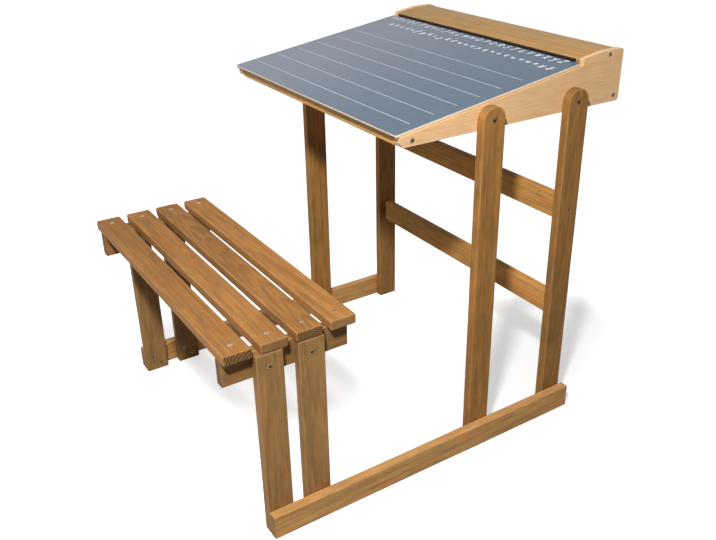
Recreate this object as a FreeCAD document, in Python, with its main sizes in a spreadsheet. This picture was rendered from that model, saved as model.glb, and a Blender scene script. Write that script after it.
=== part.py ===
import FreeCAD
import Part
import Sketcher
import math
import os

# A child's school desk with its bench on one timber frame: two floor runners carry four seat
# legs and four desk legs, slats make the seat, and a shallow box with a lift lid makes the desk.
# The sitter looks along +Y, +X is at the right hand and +Z is up. The origin lies on the floor,
# midway between the front of the seat and the back of the desk. All lengths are in millimetres.

SIZES = {
    # Frame timber
    "overall_width": 600.0,  # over the outer faces of the two runners
    "batten_thick": 17.0,
    "batten_wide": 44.0,
    "edge_round": 2.4,
    "runner_tail": 8.0,  # the runner's end behind the rear desk leg
    "seat_leg_spacing": 68.5,  # front leg to rear leg of the seat
    "desk_leg_start": 398.5,  # front end of the runner to the front desk leg
    "desk_leg_spacing": 178.5,
    "desk_leg_height": 619.0,
    "rail_upper_height": 410.0,  # floor to the middle of the rail
    "rail_lower_height": 221.5,
    # Seat
    "seat_height": 346.0,
    "slat_thick": 17.0,
    "slat_wide": 44.0,
    "slat_gap": 13.2,
    "slat_overhang": 48.0,  # the first slat's front edge ahead of the runners
    "slat_round": 3.0,
    "bearer_height": 44.0,
    "bearer_front_inset": 0.5,  # the bearer's ends inside the outer edges of the slats
    "bearer_rear_inset": 5.6,
    "seat_bolt_drop": 24.0,  # underside of the slats to the bolts
    # Desk box
    "box_bolt_rise": 17.0,  # lower edge of the side panels to the desk bolts
    "panel_thick": 17.0,
    "panel_lead": 140.5,  # side panels ahead of the front desk leg
    "panel_tail": 89.0,  # side panels behind the rear desk leg
    "panel_round": 1.2,
    "panel_front_radius": 8.0,
    "panel_rear_radius": 6.0,
    "panel_top_radius": 5.0,
    "top_raise": 5.4,  # the side panels' rear ends above the lid's surface
    "board_raise": 4.0,  # the fixed top above the lid's surface
    "board_lap": 7.5,  # rebate in each side panel that takes the end of the fixed top
    "board_end_gap": 0.8,  # end of the fixed top to the wall of the rebate
    "top_depth": 91.13,  # rear end of the side panels to the fixed top's front face
    "ledge_depth": 43.0,  # the level part of the fixed top
    "top_board_thick": 13.0,
    "back_thick": 17.0,
    "back_inset": 4.0,
    "front_rail_wide": 40.0,
    "front_rail_setback": 1.5,
    "bottom_thick": 4.0,
    "bottom_lift": 4.0,
    "groove_depth": 6.0,
    "groove_clearance": 0.15,
    # Lid
    "lid_overhang": 6.6,  # the lid's front edge ahead of the side panels
    "lid_front_rise": 20.1,  # lower edge of the side panels to the lid's front upper edge
    "lid_slope": 8.55,  # degrees
    "lid_side_inset": 2.4,  # the lid's sides inside the side panels' outer faces
    "lid_thick": 4.2,
    "slate_thick": 0.8,
    "lid_corner": 3.0,
    "lid_gap": 0.2,  # lid to the edges that it rests on
    "lid_batten_wide": 16.0,
    "lid_batten_deep": 15.0,
    "lid_batten_clearance": 6.0,
    # Hinges
    "hinge_inset": 1.5,  # inner face of the side panel to the hinge's end
    "hinge_middle_gap": 0.4,  # between the two lengths of hinge
    "knuckle_radius": 2.25,
    "knuckle_gap": 0.4,
    "knuckle_relief": 0.3,  # knuckle to the wood beside it
    "hinge_axis_rise": 2.0,  # pin above the lid's surface
    "hinge_pin_radius": 1.1,
    "hinge_pin_clearance": 0.05,
    "leaf_thick": 1.0,
    "frame_leaf_depth": 8.5,  # from the pin to the free edge of the leaf on the top board
    "lid_leaf_depth": 16.4,  # deeper, so that its screws meet the batten under the lid
    "hinge_screw_radius": 1.2,
    "hinge_screw_head_radius": 2.3,
    "hinge_screw_head_depth": 1.2,
    "hinge_screw_length": 11.0,
    "hinge_recess_span": 2.4,
    "hinge_recess_wide": 0.6,
    "hinge_recess_deep": 0.7,
    # Wood screws
    "screw_radius": 2.0,
    "screw_head_radius": 4.0,
    "screw_head_depth": 2.4,
    "screw_tip": 4.0,
    "screw_clearance": 0.06,
    "screw_sink": 0.3,  # head below the surface of the wood
    "recess_span": 4.4,
    "recess_wide": 1.1,
    "recess_deep": 1.4,
    "slat_screw_length": 33.0,
    "foot_screw_cover": 3.7,  # wood left beyond the point of the screws at the legs' feet
    "end_screw_length": 45.0,  # into the ends of rails, boards and panels
    "foot_screw_offset": 8.5,  # from the middle of each lap, across and up
    "top_screw_setback": 31.0,  # rear edge of the side panel to the screw in the top board
    "top_screw_drop": 7.5,
    "back_screw_rise": 10.0,
    # Bolts and sleeve nuts
    "bolt_radius": 3.0,
    "bolt_head_radius": 5.0,
    "bolt_head_height": 5.0,
    "bolt_sink": 1.5,
    "bolt_clearance": 0.1,
    "counterbore_clearance": 0.5,
    "bolt_end_gap": 3.0,  # bolt's end to the inner face of the wood
    "socket_wide": 5.0,
    "socket_deep": 3.0,
    "sleeve_radius": 4.2,
    "sleeve_length": 13.0,
    "flange_radius": 7.0,
    "flange_thick": 1.5,
    "driver_slot_wide": 1.2,
    "driver_slot_deep": 0.8,
}
SLAT_COUNT = 4
KNUCKLE_COUNT = 13
DRILL_RUNOUT = 2.0  # how far a drilled hole or groove runs on into open air
SIDES = (("right", 1), ("left", -1))
ALONG_X = FreeCAD.Vector(1, 0, 0)
ALONG_Y = FreeCAD.Vector(0, 1, 0)

doc = FreeCAD.newDocument("school_desk")
sheet = doc.addObject("Spreadsheet::Sheet", "Sizes")
for row, (alias, length) in enumerate(SIZES.items(), start=1):
    sheet.set(f"A{row}", alias.replace("_", " "))
    sheet.set(f"B{row}", str(length))
    sheet.setAlias(f"B{row}", alias)
doc.recompute()

# Places worked out from the sizes, as expressions on the sheet. Across the desk:
LEG_OUTER = "(Sizes.overall_width / 2 - Sizes.batten_thick)"
LEG_INNER = f"({LEG_OUTER} - Sizes.batten_thick)"
BEARER_INNER = f"({LEG_INNER} - Sizes.batten_thick)"
PANEL_INNER = f"({LEG_INNER} - Sizes.panel_thick)"
LID_WIDTH = f"(2 * ({LEG_INNER} - Sizes.lid_side_inset))"
HINGE_LENGTH = f"({PANEL_INNER} - Sizes.hinge_inset - Sizes.hinge_middle_gap / 2)"
HINGE_X = f"((Sizes.hinge_middle_gap + {HINGE_LENGTH}) / 2)"
# Along the desk, from the front end of the runners:
REAR_LEG_START = "(Sizes.desk_leg_start + Sizes.desk_leg_spacing)"
REAR_LEG_MIDDLE = f"({REAR_LEG_START} + Sizes.batten_wide / 2)"
REAR_LEG_END = f"({REAR_LEG_START} + Sizes.batten_wide)"
PANEL_FRONT = "(Sizes.desk_leg_start - Sizes.panel_lead)"
PANEL_REAR = f"({REAR_LEG_END} + Sizes.panel_tail)"
RAIL_FRONT = f"({PANEL_FRONT} + Sizes.front_rail_setback)"
RAIL_REAR = f"({RAIL_FRONT} + Sizes.front_rail_wide)"
BACK_FACE = f"({PANEL_REAR} - Sizes.back_inset)"
BACK_FRONT = f"({BACK_FACE} - Sizes.back_thick)"
CREST = f"({PANEL_REAR} - Sizes.ledge_depth)"
LID_FRONT = f"({PANEL_FRONT} - Sizes.lid_overhang)"
RUNNER_FRONT = f"((Sizes.slat_overhang - {PANEL_REAR}) / 2)"
SLAT_PITCH = "(Sizes.slat_wide + Sizes.slat_gap)"
# Upwards:
SLAT_UNDER = "(Sizes.seat_height - Sizes.slat_thick)"
LEG_ROUND = "(Sizes.desk_leg_height - Sizes.batten_wide / 2)"
BOX_BOTTOM = f"({LEG_ROUND} - Sizes.box_bolt_rise)"
LID_HEIGHT = f"({BOX_BOTTOM} + Sizes.lid_front_rise)"
# Along the lid's slope, from its front edge, and above its surface:
KNUCKLE_ROOM = "(Sizes.knuckle_radius + Sizes.knuckle_relief)"
STEP_U = f"(({PANEL_REAR} - Sizes.top_depth - {LID_FRONT}) / cos(Sizes.lid_slope))"
HINGE_U = f"({STEP_U} - {KNUCKLE_ROOM})"
LID_LENGTH = f"({STEP_U} - 2 * {KNUCKLE_ROOM})"
LID_STACK = "(Sizes.lid_thick + Sizes.slate_thick)"
SEAT_V = f"(0 - {LID_STACK} - Sizes.lid_gap)"
BOARD_UNDER_V = "(Sizes.board_raise - Sizes.top_board_thick)"


def from_front(distance):
    return f"({RUNNER_FRONT} + {distance})"


def on_slope(u, v):
    """Level place and height of a point u back along the lid's surface and v above it."""
    level = f"({LID_FRONT} + ({u}) * cos(Sizes.lid_slope) - ({v}) * sin(Sizes.lid_slope))"
    height = f"({LID_HEIGHT} + ({u}) * sin(Sizes.lid_slope) + ({v}) * cos(Sizes.lid_slope))"
    return level, height


def slope_height(level, v):
    """Height of the plane v above the lid's surface at a level distance from the runner's front."""
    rise = f"({level} - {LID_FRONT}) * tan(Sizes.lid_slope)"
    return f"({LID_HEIGHT} + {rise} + ({v}) / cos(Sizes.lid_slope))"


def number(expression):
    return float(sheet.evalExpression(expression))


def place(thing, x="0", y="0", z="0", axis=None, angle="0"):
    """Puts a thing where the expressions say, turned about one axis."""
    if axis is not None:
        thing.Placement = FreeCAD.Placement(FreeCAD.Vector(), FreeCAD.Rotation(axis, number(angle)))
        thing.setExpression("Placement.Rotation.Angle", angle)
    for letter, expression in (("x", x), ("y", y), ("z", z)):
        thing.setExpression(f"Placement.Base.{letter}", expression)
    return thing


def bind(thing, **sizes):
    for size, expression in sizes.items():
        thing.setExpression(size, expression)
    return thing


def new_profile(body):
    """An empty sketch on the body's side-view plane, where across is +Y and up is +Z."""
    plane = [feature for feature in body.Origin.OriginFeatures if feature.Role == "YZ_Plane"][0]
    sketch = body.newObject("Sketcher::SketchObject", f"{body.Name}_profile")
    sketch.AttachmentSupport = (plane, [""])
    sketch.MapMode = "FlatFace"
    return sketch


def pin_corner(sketch, line, corner):
    """Ties the start of a line to its two expressions."""
    for kind, expression, axis in (("DistanceX", corner[0], -2), ("DistanceY", corner[1], -1)):
        if expression == "0":
            sketch.addConstraint(Sketcher.Constraint("PointOnObject", line, 1, axis))
        else:
            length = number(expression)
            index = sketch.addConstraint(Sketcher.Constraint(kind, -1, 1, line, 1, length))
            sketch.setExpression(f"Constraints[{index}]", expression)


def draw_corners(sketch, corners):
    """A closed outline of straight lines through the corners."""
    spots = [FreeCAD.Vector(number(across), number(up), 0) for across, up in corners]
    count = len(spots)
    for index, spot in enumerate(spots):
        sketch.addGeometry(Part.LineSegment(spot, spots[(index + 1) % count]))
    for index, corner in enumerate(corners):
        sketch.addConstraint(Sketcher.Constraint("Coincident", index, 2, (index + 1) % count, 1))
        pin_corner(sketch, index, corner)


def draw_round_top(sketch, wide, height):
    """A leg's outline: square at the floor and a half circle at the top."""
    width = number(wide)
    centre_height = number(height) - width / 2
    base = FreeCAD.Vector(0, 0, 0)
    base_end = FreeCAD.Vector(width, 0, 0)
    shoulder = FreeCAD.Vector(width, centre_height, 0)
    far_shoulder = FreeCAD.Vector(0, centre_height, 0)
    circle = Part.Circle(FreeCAD.Vector(width / 2, centre_height, 0), FreeCAD.Vector(0, 0, 1), width / 2)
    sketch.addGeometry(Part.LineSegment(base, base_end))
    sketch.addGeometry(Part.LineSegment(base_end, shoulder))
    sketch.addGeometry(Part.ArcOfCircle(circle, 0, math.pi))
    sketch.addGeometry(Part.LineSegment(far_shoulder, base))
    sketch.addConstraint(Sketcher.Constraint("Coincident", 0, 1, -1, 1))
    sketch.addConstraint(Sketcher.Constraint("Coincident", 0, 2, 1, 1))
    sketch.addConstraint(Sketcher.Constraint("Coincident", 3, 2, 0, 1))
    sketch.addConstraint(Sketcher.Constraint("Tangent", 1, 2, 2, 1))
    sketch.addConstraint(Sketcher.Constraint("Tangent", 2, 2, 3, 1))
    sketch.addConstraint(Sketcher.Constraint("Horizontal", 0))
    sketch.addConstraint(Sketcher.Constraint("Vertical", 1))
    sketch.addConstraint(Sketcher.Constraint("Vertical", 3))
    index = sketch.addConstraint(Sketcher.Constraint("DistanceX", 0, 1, 0, 2, width))
    sketch.setExpression(f"Constraints[{index}]", wide)
    index = sketch.addConstraint(Sketcher.Constraint("DistanceY", -1, 1, 2, 3, centre_height))
    sketch.setExpression(f"Constraints[{index}]", f"{height} - {wide} / 2")


def edges_at(shape, corner):
    """Names of the edges that run across the desk through a corner of the profile."""
    names = []
    for index, edge in enumerate(shape.Edges, start=1):
        middle = edge.CenterOfMass
        reach = edge.BoundBox.YLength + edge.BoundBox.ZLength
        apart = abs(middle.y - number(corner[0])) + abs(middle.z - number(corner[1]))
        if reach < 0.001 and apart < 0.001:
            names.append(f"Edge{index}")
    return names


def upright_edges(shape):
    """Names of the edges square to the lid, at its four corners."""
    names = []
    for index, edge in enumerate(shape.Edges, start=1):
        if edge.BoundBox.XLength + edge.BoundBox.YLength < 0.001:
            names.append(f"Edge{index}")
    return names


def round_edges(body, names, radius):
    """Rounds the named edges of a body, or every edge where none is named."""
    base = body.Tip
    fillet = body.newObject("PartDesign::Fillet", f"{body.Name}_round")
    fillet.Base = (base, names or [""])
    fillet.UseAllEdges = not names
    bind(fillet, Radius=radius)
    doc.recompute()


blanks = {}
tools = {}


def section(name, thickness, x, y, z, corners=None, round_top=None, sloped=False):
    """A solid of one section across the desk: its side-view outline carried along X."""
    body = doc.addObject("PartDesign::Body", f"{name}_blank")
    sketch = new_profile(body)
    if corners:
        draw_corners(sketch, corners)
    else:
        draw_round_top(sketch, *round_top)
    pad = body.newObject("PartDesign::Pad", f"{name}_pad")
    pad.Profile = sketch
    bind(pad, Length=thickness)
    if sloped:
        place(body, x, y, z, ALONG_X, "Sizes.lid_slope")
    else:
        place(body, x, y, z)
    doc.recompute()
    return body


def timber(name, *outline, **settings):
    """A piece of the desk, with the list of what will be cut from it."""
    blanks[name] = section(name, *outline, **settings)
    tools[name] = []
    return blanks[name]


def rectangle(wide, high):
    return [("0", "0"), (wide, "0"), (wide, high), ("0", high)]


def groove(name, pieces, length, width, height, x, y, z):
    box = doc.addObject("Part::Box", name)
    bind(box, Length=length, Width=width, Height=height)
    place(box, x, y, z)
    for piece in pieces:
        tools[piece].append(box)


# Floor runners, legs and bearers of the two sides
ROUND = "min(Sizes.edge_round; Sizes.batten_thick * 0.4)"
LEG_STARTS = {
    "seat_leg_front": "0",
    "seat_leg_rear": "Sizes.seat_leg_spacing",
    "desk_leg_front": "Sizes.desk_leg_start",
    "desk_leg_rear": REAR_LEG_START,
}
BEARER_START = "(Sizes.bearer_front_inset - Sizes.slat_overhang)"
SLAT_SPAN = f"({SLAT_COUNT} * {SLAT_PITCH} - Sizes.slat_gap)"
BEARER_LENGTH = f"({SLAT_SPAN} - Sizes.bearer_front_inset - Sizes.bearer_rear_inset)"
for side, sign in SIDES:
    runner_x = LEG_OUTER if sign > 0 else "-Sizes.overall_width / 2"
    leg_x = LEG_INNER if sign > 0 else f"-{LEG_OUTER}"
    bearer_x = BEARER_INNER if sign > 0 else f"-{LEG_INNER}"
    runner = timber(f"runner_{side}", "Sizes.batten_thick", runner_x, RUNNER_FRONT, "0",
                    rectangle(f"{REAR_LEG_END} + Sizes.runner_tail", "Sizes.batten_wide"))
    round_edges(runner, None, ROUND)
    for leg, start in LEG_STARTS.items():
        if leg.startswith("seat"):
            outline = {"corners": rectangle("Sizes.batten_wide", SLAT_UNDER)}
        else:
            outline = {"round_top": ("Sizes.batten_wide", "Sizes.desk_leg_height")}
        blank = timber(f"{leg}_{side}", "Sizes.batten_thick", leg_x, from_front(start), "0", **outline)
        round_edges(blank, None, ROUND)
    bearer = timber(f"seat_bearer_{side}", "Sizes.batten_thick", bearer_x, from_front(BEARER_START),
                    f"{SLAT_UNDER} - Sizes.bearer_height", rectangle(BEARER_LENGTH, "Sizes.bearer_height"))
    round_edges(bearer, None, ROUND)

# Seat slats, from the front of the seat to the back
SLAT_STARTS = [f"({index} * {SLAT_PITCH} - Sizes.slat_overhang)" for index in range(SLAT_COUNT)]
for index, start in enumerate(SLAT_STARTS, start=1):
    slat = timber(f"seat_slat_{index}", f"2 * {LEG_OUTER}", f"-{LEG_OUTER}", from_front(start),
                  SLAT_UNDER, rectangle("Sizes.slat_wide", "Sizes.slat_thick"))
    round_edges(slat, None, "min(Sizes.slat_round; Sizes.slat_thick * 0.4)")

# Cross rails between the rear desk legs, in the middle of their width
RAILS = {"cross_rail_upper": "Sizes.rail_upper_height", "cross_rail_lower": "Sizes.rail_lower_height"}
for rail, height in RAILS.items():
    blank = timber(rail, f"2 * {LEG_INNER}", f"-{LEG_INNER}",
                   from_front(f"{REAR_LEG_MIDDLE} - Sizes.batten_thick / 2"),
                   f"{height} - Sizes.batten_wide / 2",
                   rectangle("Sizes.batten_thick", "Sizes.batten_wide"))
    round_edges(blank, None, ROUND)

# Desk box. Its outlines are measured from the lowest point of the side panels' front end
BOX_Y = from_front(PANEL_FRONT)
TOP_HEIGHT = slope_height(CREST, "Sizes.top_raise")
BOARD_HEIGHT = slope_height(CREST, "Sizes.board_raise")
RAIL_THICK = f"({slope_height(RAIL_FRONT, SEAT_V)} - {BOX_BOTTOM})"


def in_box(level, height):
    """A corner of a box piece's outline, from its place along the runner and its height."""
    return f"{level} - {PANEL_FRONT}", f"{height} - {BOX_BOTTOM}"


PANEL_ROUND = "min(Sizes.panel_round; Sizes.panel_thick * 0.2)"
PANEL_CORNERS = [
    ("0", "0"),
    (f"{PANEL_REAR} - {PANEL_FRONT}", "0"),
    in_box(PANEL_REAR, TOP_HEIGHT),
    in_box(CREST, TOP_HEIGHT),
    in_box(*on_slope(STEP_U, "Sizes.top_raise")),
    in_box(*on_slope(STEP_U, SEAT_V)),
    ("0", f"{slope_height(PANEL_FRONT, SEAT_V)} - {BOX_BOTTOM}"),
]
for side, sign in SIDES:
    panel_x = PANEL_INNER if sign > 0 else f"-{LEG_INNER}"
    panel = timber(f"side_panel_{side}", "Sizes.panel_thick", panel_x, BOX_Y, BOX_BOTTOM, PANEL_CORNERS)
    round_edges(panel, edges_at(panel.Tip.Shape, PANEL_CORNERS[0]), "Sizes.panel_front_radius")
    round_edges(panel, edges_at(panel.Tip.Shape, PANEL_CORNERS[1]), "Sizes.panel_rear_radius")
    round_edges(panel, edges_at(panel.Tip.Shape, PANEL_CORNERS[2]), "Sizes.panel_top_radius")
    round_edges(panel, edges_at(panel.Tip.Shape, PANEL_CORNERS[4]), PANEL_ROUND)

front_rail = timber("front_rail", f"2 * {PANEL_INNER}", f"-{PANEL_INNER}", from_front(RAIL_FRONT),
                    BOX_BOTTOM, rectangle("Sizes.front_rail_wide", RAIL_THICK))
round_edges(front_rail, None, f"min(Sizes.panel_round; {RAIL_THICK} * 0.2)")

BACK_CORNERS = [
    (f"{BACK_FRONT} - {PANEL_FRONT}", "0"),
    (f"{BACK_FACE} - {PANEL_FRONT}", "0"),
    in_box(BACK_FACE, slope_height(BACK_FACE, BOARD_UNDER_V)),
    in_box(BACK_FRONT, slope_height(BACK_FRONT, BOARD_UNDER_V)),
]
timber("back_panel", f"2 * {PANEL_INNER}", f"-{PANEL_INNER}", BOX_Y, BOX_BOTTOM, BACK_CORNERS)

BOARD_CORNERS = [
    in_box(*on_slope(STEP_U, BOARD_UNDER_V)),
    in_box(BACK_FACE, slope_height(BACK_FACE, BOARD_UNDER_V)),
    in_box(BACK_FACE, BOARD_HEIGHT),
    in_box(CREST, BOARD_HEIGHT),
    in_box(*on_slope(STEP_U, "Sizes.board_raise")),
]
REBATE_HALF = f"({PANEL_INNER} + min(Sizes.board_lap; Sizes.panel_thick * 0.6))"
BOARD_HALF = f"({REBATE_HALF} - Sizes.board_end_gap)"
top_board = timber("top_board", f"2 * {BOARD_HALF}", f"-{BOARD_HALF}", BOX_Y, BOX_BOTTOM, BOARD_CORNERS)
round_edges(top_board, edges_at(top_board.Tip.Shape, BOARD_CORNERS[4]), "2 * Sizes.panel_round")
round_edges(top_board, edges_at(top_board.Tip.Shape, BOARD_CORNERS[2]), "2 * Sizes.panel_round")

# Its ends lie in rebates, open at the top, in the raised ends of the side panels
REBATE_TOP = f"{TOP_HEIGHT} + {DRILL_RUNOUT}"
REBATE_CORNERS = BOARD_CORNERS[:2] + [
    in_box(BACK_FACE, REBATE_TOP),
    in_box(CREST, REBATE_TOP),
    in_box(*on_slope(STEP_U, f"Sizes.top_raise + {DRILL_RUNOUT}")),
]
rebate = section("top_rebate", f"2 * {REBATE_HALF}", f"-{REBATE_HALF}", BOX_Y, BOX_BOTTOM, REBATE_CORNERS)
tools["side_panel_right"].append(rebate)
tools["side_panel_left"].append(rebate)

# The bottom panel lies in grooves round the box
BOTTOM_FRONT = f"({RAIL_REAR} - Sizes.groove_depth)"
BOTTOM_REAR = f"({BACK_FRONT} + Sizes.groove_depth)"
BOTTOM_HALF = f"({PANEL_INNER} + Sizes.groove_depth)"
bottom_long = f"{BOTTOM_REAR} - {BOTTOM_FRONT} - 2 * Sizes.groove_clearance"
timber("bottom_panel", f"2 * ({BOTTOM_HALF} - Sizes.groove_clearance)",
       f"Sizes.groove_clearance - {BOTTOM_HALF}",
       from_front(f"{BOTTOM_FRONT} + Sizes.groove_clearance"),
       f"{BOX_BOTTOM} + Sizes.bottom_lift + Sizes.groove_clearance",
       rectangle(bottom_long, "Sizes.bottom_thick"))
groove("bottom_groove", ["side_panel_right", "side_panel_left", "front_rail", "back_panel"],
       f"2 * {BOTTOM_HALF}", f"{BOTTOM_REAR} - {BOTTOM_FRONT}",
       "Sizes.bottom_thick + 2 * Sizes.groove_clearance",
       f"-{BOTTOM_HALF}", from_front(BOTTOM_FRONT), f"{BOX_BOTTOM} + Sizes.bottom_lift")


def lid_piece(name, width, start_u, low_v, long, thick):
    """A flat piece that lies along the lid's slope."""
    level, height = on_slope(start_u, low_v)
    return timber(name, width, f"-({width}) / 2", from_front(level), height, rectangle(long, thick),
                  sloped=True)


# Lid: a thin board, its slate surface and a batten for the hinge screws
lid_board = lid_piece("lid_board", LID_WIDTH, "0", f"0 - {LID_STACK}", LID_LENGTH, "Sizes.lid_thick")
slate_face = lid_piece("slate_face", LID_WIDTH, "0", "0 - Sizes.slate_thick", LID_LENGTH,
                       "Sizes.slate_thick")
for sheet_piece in (lid_board, slate_face):
    round_edges(sheet_piece, upright_edges(sheet_piece.Tip.Shape), "Sizes.lid_corner")
LID_BATTEN_WIDTH = f"2 * ({PANEL_INNER} - Sizes.lid_batten_clearance)"
lid_piece("lid_batten", LID_BATTEN_WIDTH, f"{LID_LENGTH} - Sizes.lid_batten_wide",
          f"0 - {LID_STACK} - Sizes.lid_batten_deep", "Sizes.lid_batten_wide", "Sizes.lid_batten_deep")


# Fasteners are drawn upright, head up, with the top of the head at the origin
def fuse(name, shapes):
    fused = doc.addObject("Part::MultiFuse", name)
    fused.Shapes = shapes
    return fused


def cut(name, base, tool):
    left = doc.addObject("Part::Cut", name)
    left.Base = base
    left.Tool = tool
    return left


def cylinder(name, radius, height, z):
    return place(bind(doc.addObject("Part::Cylinder", name), Radius=radius, Height=height), z=z)


def cone(name, low_radius, high_radius, height, z):
    shape = bind(doc.addObject("Part::Cone", name), Radius1=low_radius, Radius2=high_radius, Height=height)
    return place(shape, z=z)


def block(name, length, width, height, z):
    """A box centred on the upright axis."""
    shape = bind(doc.addObject("Part::Box", name), Length=length, Width=width, Height=height)
    return place(shape, f"-({length}) / 2", f"-({width}) / 2", z)


def screw(name, kind, recess, length):
    """A countersunk cross-head screw of one length, and the hole that it needs."""
    radius = f"Sizes.{kind}_radius"
    head = f"Sizes.{kind}_head_radius"
    depth = f"Sizes.{kind}_head_depth"
    span, wide, deep = (f"Sizes.{recess}_{size}" for size in ("span", "wide", "deep"))
    tip = f"min(Sizes.screw_tip; {length} / 4)"
    solid = fuse(f"{name}_solid", [
        cone(f"{name}_head", radius, head, depth, f"-{depth}"),
        cylinder(f"{name}_shank", radius, f"{length} - {depth} - {tip}", f"{tip} - {length}"),
        cone(f"{name}_tip", f"{radius} / 4", radius, tip, f"-{length}"),
    ])
    cross = fuse(f"{name}_cross", [
        block(f"{name}_slot_a", span, wide, f"{deep} + {depth}", f"-{deep}"),
        block(f"{name}_slot_b", wide, span, f"{deep} + {depth}", f"-{deep}"),
    ])
    room = "Sizes.screw_clearance"
    hole = fuse(f"{name}_hole", [
        cone(f"{name}_hole_head", f"{radius} + {room}", f"{head} + {room}", depth, f"-{depth}"),
        cylinder(f"{name}_hole_shank", f"{radius} + {room}", f"{length} + {room}", f"-({length} + {room})"),
        cylinder(f"{name}_hole_mouth", f"{head} + {room}", f"Sizes.screw_sink + {DRILL_RUNOUT}", "0"),
    ])
    return cut(f"{name}_master", solid, cross), hole


def link(name, master, x, y, z, axis=None, angle="0"):
    copy = doc.addObject("App::Link", name)
    copy.LinkedObject = master
    copy.LinkTransform = True
    return place(copy, x, y, z, axis, angle)


groups = {}


def fasten(group, masters, pieces, spot, turn):
    """One fastener of a group, and its hole in each piece that it passes through."""
    solid, hole = masters
    index = len(groups.setdefault(group, [])) + 1
    groups[group].append(link(f"{group}_{index}", solid, *spot, *turn))
    drilled = link(f"{group}_hole_{index}", hole, *spot, *turn)
    for piece in pieces:
        tools[piece].append(drilled)


def facing(sign):
    """Turn of a fastener whose head faces right or left."""
    return (ALONG_Y if sign > 0 else -ALONG_Y), "90"


UPRIGHT = (None, "0")
slat_screw = screw("slat_screw", "screw", "recess", "Sizes.slat_screw_length")
foot_screw = screw("foot_screw", "screw", "recess",
                   "(2 * Sizes.batten_thick - Sizes.screw_sink - Sizes.foot_screw_cover)")
end_screw = screw("end_screw", "screw", "recess", "Sizes.end_screw_length")

for side, sign in SIDES:
    # One screw through each slat into the bearer under it
    bearer_middle = f"{sign} * ({LEG_INNER} - Sizes.batten_thick / 2)"
    for index, start in enumerate(SLAT_STARTS, start=1):
        spot = (bearer_middle, from_front(f"({start} + Sizes.slat_wide / 2)"),
                "Sizes.seat_height - Sizes.screw_sink")
        fasten("slat_screws", slat_screw, [f"seat_slat_{index}", f"seat_bearer_{side}"], spot, UPRIGHT)
    # Two screws at each leg's foot, from its inner face into the runner
    inner_face = f"{sign} * ({LEG_INNER} + Sizes.screw_sink)"
    for leg, start in LEG_STARTS.items():
        for step in (-1, 1):
            spot = (inner_face,
                    from_front(f"({start} + Sizes.batten_wide / 2 + {step} * Sizes.foot_screw_offset)"),
                    f"Sizes.batten_wide / 2 - {step} * Sizes.foot_screw_offset")
            fasten("foot_screws", foot_screw, [f"{leg}_{side}", f"runner_{side}"], spot, facing(-sign))
    # One screw through each rear leg into the end of each cross rail
    leg_face = f"{sign} * ({LEG_OUTER} - Sizes.screw_sink)"
    for rail, height in RAILS.items():
        spot = (leg_face, from_front(REAR_LEG_MIDDLE), height)
        fasten("rail_screws", end_screw, [f"desk_leg_rear_{side}", rail], spot, facing(sign))
    # Three screws through each side panel, into the front rail, the top board and the back panel
    panel_face = f"{sign} * ({LEG_INNER} - Sizes.screw_sink)"
    panel_spots = {
        "front_rail": (f"({RAIL_FRONT} + Sizes.front_rail_wide / 2)",
                       f"{BOX_BOTTOM} + {RAIL_THICK} / 2"),
        "top_board": (f"({PANEL_REAR} - Sizes.top_screw_setback)",
                      f"{TOP_HEIGHT} - Sizes.top_screw_drop"),
        "back_panel": (f"({BACK_FRONT} + Sizes.back_thick / 2)",
                       f"{BOX_BOTTOM} + Sizes.back_screw_rise"),
    }
    for piece, (level, height) in panel_spots.items():
        spot = (panel_face, from_front(level), height)
        fasten("panel_screws", end_screw, [f"side_panel_{side}", piece], spot, facing(sign))


def bolt(name, carried_thick):
    """A socket-head bolt through a leg and the piece that it carries, and the hole that it needs."""
    head = "Sizes.bolt_head_height"
    shank = f"(Sizes.batten_thick + {carried_thick} - Sizes.bolt_sink - {head} - Sizes.bolt_end_gap)"
    runout = f"(Sizes.bolt_end_gap + {DRILL_RUNOUT})"
    solid = fuse(f"{name}_solid", [
        cylinder(f"{name}_head", "Sizes.bolt_head_radius", head, f"-{head}"),
        cylinder(f"{name}_shank", "Sizes.bolt_radius", shank, f"-{head} - {shank}"),
    ])
    socket = bind(doc.addObject("Part::Prism", f"{name}_socket"),
                  Circumradius="Sizes.socket_wide / sqrt(3)", Height="Sizes.socket_deep + Sizes.bolt_sink")
    socket.Polygon = 6
    place(socket, z="-Sizes.socket_deep")
    hole = fuse(f"{name}_hole", [
        cylinder(f"{name}_counterbore", "Sizes.bolt_head_radius + Sizes.counterbore_clearance",
                 f"{head} + Sizes.bolt_sink + {DRILL_RUNOUT}", f"-{head}"),
        cylinder(f"{name}_way", "Sizes.bolt_radius + Sizes.bolt_clearance",
                 f"{shank} + {runout}", f"-{head} - {shank} - {runout}"),
    ])
    return cut(f"{name}_master", solid, socket), hole


# Bolts sunk in the legs' outer faces, with sleeve nuts from the inner faces
seat_bolt = bolt("seat_bolt", "Sizes.batten_thick")
desk_bolt = bolt("desk_bolt", "Sizes.panel_thick")

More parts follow.
